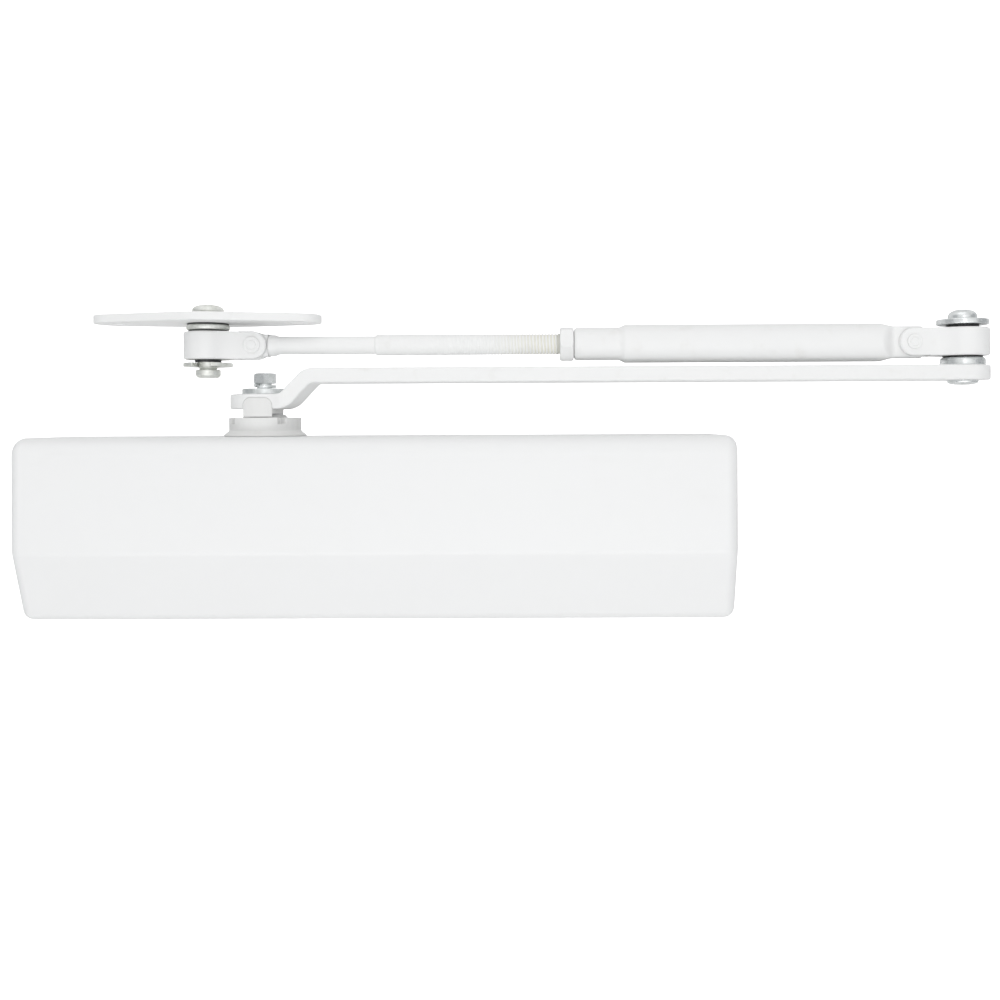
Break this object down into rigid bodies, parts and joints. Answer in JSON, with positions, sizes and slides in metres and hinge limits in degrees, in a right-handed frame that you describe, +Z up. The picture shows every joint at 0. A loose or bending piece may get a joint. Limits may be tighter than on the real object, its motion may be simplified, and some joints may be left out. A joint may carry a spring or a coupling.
{
  "type": "overhead door closer with folded arm",
  "caption": "White surface-mounted door closer: a long moulded cover over a rack-and-pinion body, a cranked main arm and a jointed forearm folded over it, ending in a foot plate.",
  "frame": {"origin": "centre of the pattern of four fixing holes, on the casting's back face, which is the door's face", "axes": "+X along the body towards the elbow, +Y out of the back into the door, +Z up along the spindle towards the arm"},
  "size_m": [0.3645, 0.05, 0.1186],
  "materials": {
    "white_moulding": "fine satin moulding",
    "white_paint": "satin powder coat",
    "grey_paint": "thin worn coat",
    "zinc_steel": "bright zinc plate",
    "ground_steel": "ground and oiled",
    "spring_steel": "oil-hardened",
    "brass": "turned",
    "black_rubber": "matt",
    "black_nylon": "matt"
  },
  "bodies": {
    "body": {"cover": "white_moulding", "body_casting": "white_paint", "cover_clips": "spring_steel", "left_end_cap": "zinc_steel", "right_end_cap": "zinc_steel", "end_cap_seals": "black_rubber", "upper_bearing": "ground_steel", "lower_bearing": "ground_steel", "shaft_seal": "black_rubber", "bearing_nut": "grey_paint", "lower_plug": "zinc_steel", "thrust_ring": "brass", "main_spring": "spring_steel"},
    "spindle_arm": {"pinion_shaft": "ground_steel", "arm_tab_washer": "grey_paint", "main_arm": "white_paint", "arm_flat_washer": "zinc_steel", "arm_spring_washer": "zinc_steel", "arm_bolt": "zinc_steel", "elbow_pin": "zinc_steel", "elbow_spacer": "zinc_steel", "elbow_washer": "zinc_steel"},
    "piston": {"rack_piston": "ground_steel", "check_valve_seat": "brass"},
    "ball": {"check_ball": "ground_steel"},
    "power_screw": {"power_adjust_screw": "zinc_steel"},
    "seat": {"spring_seat": "ground_steel"},
    "closing_screw": {"closing_speed_screw": "brass"},
    "latch_screw": {"latch_speed_screw": "brass"},
    "backcheck": {"backcheck_screw": "brass"},
    "link": {"elbow_link": "white_paint", "elbow_bush": "black_nylon", "elbow_cross_rivet": "zinc_steel"},
    "forearm": {"forearm_tube": "white_paint"},
    "nut": {"locknut": "white_paint"},
    "rod": {"adjuster_rod": "white_paint"},
    "foot": {"foot_link": "white_paint", "foot_bush": "black_nylon", "foot_cross_rivet": "zinc_steel"},
    "plate": {"foot_plate": "white_paint", "foot_stud": "zinc_steel", "foot_washer": "zinc_steel", "foot_clip": "zinc_steel"}
  },
  "joints": [
    {"name": "spindle_turn", "type": "hinge", "parent": "body", "child": "spindle_arm", "pos_m": [-0.0449, -0.025, 0.034], "axis": [0, 0, -1], "range_deg": [0, 180], "stiffness_Nm_per_rad": 4, "springref_deg": -114.59},
    {"name": "piston_slide", "type": "slide", "parent": "body", "child": "piston", "axis": [1, 0, 0], "range_m": [0, 0.0252], "deforming": ["main_spring"]},
    {"name": "check_ball_lift", "type": "slide", "parent": "piston", "child": "ball", "axis": [1, 0, 0], "range_m": [0, 0.0006]},
    {"name": "power_screw_turn", "type": "hinge", "parent": "body", "child": "power_screw", "pos_m": [0.08, -0.025, 0], "axis": [1, 0, 0], "range_deg": [0, 2881]},
    {"name": "spring_seat_slide", "type": "slide", "parent": "body", "child": "seat", "axis": [-1, 0, 0], "range_m": [0, 0.012], "deforming": ["main_spring"]},
    {"name": "closing_screw_turn", "type": "hinge", "parent": "body", "child": "closing_screw", "pos_m": [-0.095, -0.0295, -0.022], "axis": [1, 0, 0], "range_deg": [-360, 360]},
    {"name": "latch_screw_turn", "type": "hinge", "parent": "body", "child": "latch_screw", "pos_m": [-0.095, -0.0205, -0.022], "axis": [1, 0, 0], "range_deg": [-360, 360]},
    {"name": "backcheck_turn", "type": "hinge", "parent": "body", "child": "backcheck", "pos_m": [0.095, -0.0295, -0.022], "axis": [1, 0, 0], "range_deg": [-360, 360]},
    {"name": "elbow_turn", "type": "hinge", "parent": "spindle_arm", "child": "link", "pos_m": [0.222, -0.025, 0.06875], "axis": [0, 0, 1], "continuous": true},
    {"name": "elbow_tilt", "type": "hinge", "parent": "link", "child": "forearm", "pos_m": [0.202, -0.025, 0.06875], "axis": [0, 1, 0], "range_deg": [0, 12]},
    {"name": "forearm_length", "type": "slide", "parent": "forearm", "child": "rod", "axis": [-1, 0, 0], "range_m": [-0.006, 0.04]},
    {"name": "locknut_turn", "type": "hinge", "parent": "forearm", "child": "nut", "pos_m": [0.0705, -0.025, 0.06875], "axis": [1, 0, 0], "continuous": true},
    {"name": "foot_tilt", "type": "hinge", "parent": "rod", "child": "foot", "pos_m": [-0.0488, -0.025, 0.06875], "axis": [0, 1, 0], "range_deg": [-10, 10]},
    {"name": "foot_turn", "type": "hinge", "parent": "foot", "child": "plate", "pos_m": [-0.0668, -0.025, 0.06875], "axis": [0, 0, 1], "continuous": true}
  ],
  "couplings": [
    {"joint": "piston_slide", "follows": "spindle_turn", "m_per_rad": 0.008},
    {"joint": "power_screw_turn", "follows": "spring_seat_slide", "rad_per_m": 4188.8}
  ]
}
